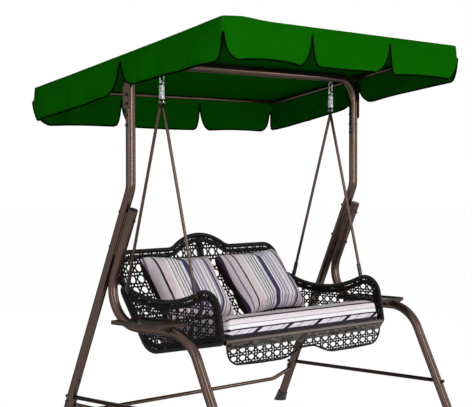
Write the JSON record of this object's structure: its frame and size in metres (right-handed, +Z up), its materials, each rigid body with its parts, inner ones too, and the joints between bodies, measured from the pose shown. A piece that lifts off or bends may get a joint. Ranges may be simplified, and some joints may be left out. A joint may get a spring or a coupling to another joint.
{
  "type": "canopy swing bench",
  "caption": "Free-standing garden swing: tube frame with side trays, tilting fabric canopy, and a woven bench with striped cushions hung on springs and rods.",
  "frame": {"origin": "on the floor, under the middle of the whole object's box", "axes": "+X to the right along the bench to the left hand of someone who sits in it, +Y to the rear, +Z up"},
  "size_m": [1.658, 1.2688, 1.8183],
  "materials": {
    "bronze_paint": "glossy bronze-brown paint",
    "zinc_hardware": "zinc plated",
    "spring_steel": "bright plated wire",
    "black_caps": "matt rubber",
    "knob_plastic": "matt black plastic",
    "canopy_fabric": "coated woven polyester",
    "striped_fabric": "striped woven cotton",
    "wicker": "dark woven cane, satin",
    "wicker_rim": "wrapped cane over steel tube"
  },
  "bodies": {
    "frame": {"top_beam": "bronze_paint", "upright_left": "bronze_paint", "upright_right": "bronze_paint", "rear_leg_left": "bronze_paint", "rear_leg_right": "bronze_paint", "rear_leg_lower_left": "bronze_paint", "rear_leg_lower_right": "bronze_paint", "front_leg_left": "bronze_paint", "front_leg_right": "bronze_paint", "leg_spacers": "bronze_paint", "front_leg_caps": "black_caps", "foot_cap_rear_left": "black_caps", "foot_cap_rear_right": "black_caps", "foot_cap_front_left": "black_caps", "foot_cap_front_right": "black_caps", "rear_cross_bar": "bronze_paint", "side_stretcher_left": "bronze_paint", "side_stretcher_right": "bronze_paint", "tray_left": "bronze_paint", "tray_right": "bronze_paint", "upright_bolts": "zinc_hardware", "leg_bolts": "zinc_hardware", "stretcher_bolts": "zinc_hardware", "tray_bolts": "zinc_hardware", "beam_eyes": "zinc_hardware", "canopy_bracket_left": "bronze_paint", "canopy_bracket_right": "bronze_paint"},
    "canopy": {"canopy_arm_left": "bronze_paint", "canopy_arm_right": "bronze_paint", "canopy_front_rail": "bronze_paint", "canopy_rear_rail": "bronze_paint", "canopy_top": "canopy_fabric", "canopy_valance_front": "canopy_fabric", "canopy_valance_rear": "canopy_fabric", "canopy_valance_left": "canopy_fabric", "canopy_valance_right": "canopy_fabric"},
    "canopy_knob_left": {"canopy_knob_left": "knob_plastic"},
    "canopy_knob_right": {"canopy_knob_right": "knob_plastic"},
    "hanger": {"hanger_links": "zinc_hardware", "spring_left": "spring_steel", "spring_right": "spring_steel"},
    "seat": {"hanger_pins": "zinc_hardware", "hanger_rod_front_left": "bronze_paint", "hanger_rod_front_right": "bronze_paint", "hanger_rod_rear_left": "bronze_paint", "hanger_rod_rear_right": "bronze_paint", "rod_bolts": "zinc_hardware", "seat_frame": "bronze_paint", "back_frame": "wicker_rim", "arm_frame_left": "wicker_rim", "arm_frame_right": "wicker_rim", "arm_panel_left": "wicker", "arm_panel_right": "wicker", "back_panel": "wicker", "seat_panel": "wicker", "apron_panel": "wicker", "seat_cushion": "striped_fabric", "back_pillow_left": "striped_fabric", "back_pillow_right": "striped_fabric"}
  },
  "joints": [
    {"name": "canopy_tilt", "type": "hinge", "parent": "frame", "child": "canopy", "pos_m": [0, 0.02224, 1.689], "axis": [1, 0, 0], "range_deg": [-12, 25]},
    {"name": "knob_left_turn", "type": "hinge", "parent": "frame", "child": "canopy_knob_left", "pos_m": [-0.743, 0.02224, 1.689], "axis": [1, 0, 0], "continuous": true},
    {"name": "knob_right_turn", "type": "hinge", "parent": "frame", "child": "canopy_knob_right", "pos_m": [0.743, 0.02224, 1.689], "axis": [1, 0, 0], "continuous": true},
    {"name": "seat_swing", "type": "hinge", "parent": "frame", "child": "hanger", "pos_m": [0, 0.02224, 1.6393], "axis": [1, 0, 0], "range_deg": [-25, 25]},
    {"name": "spring_stretch", "type": "slide", "parent": "hanger", "child": "seat", "axis": [0, 0, -1], "range_m": [0, 0.03], "stiffness_N_per_m": 60000, "springref_m": -0.0064, "deforming": ["spring_left", "spring_right"]}
  ]
}
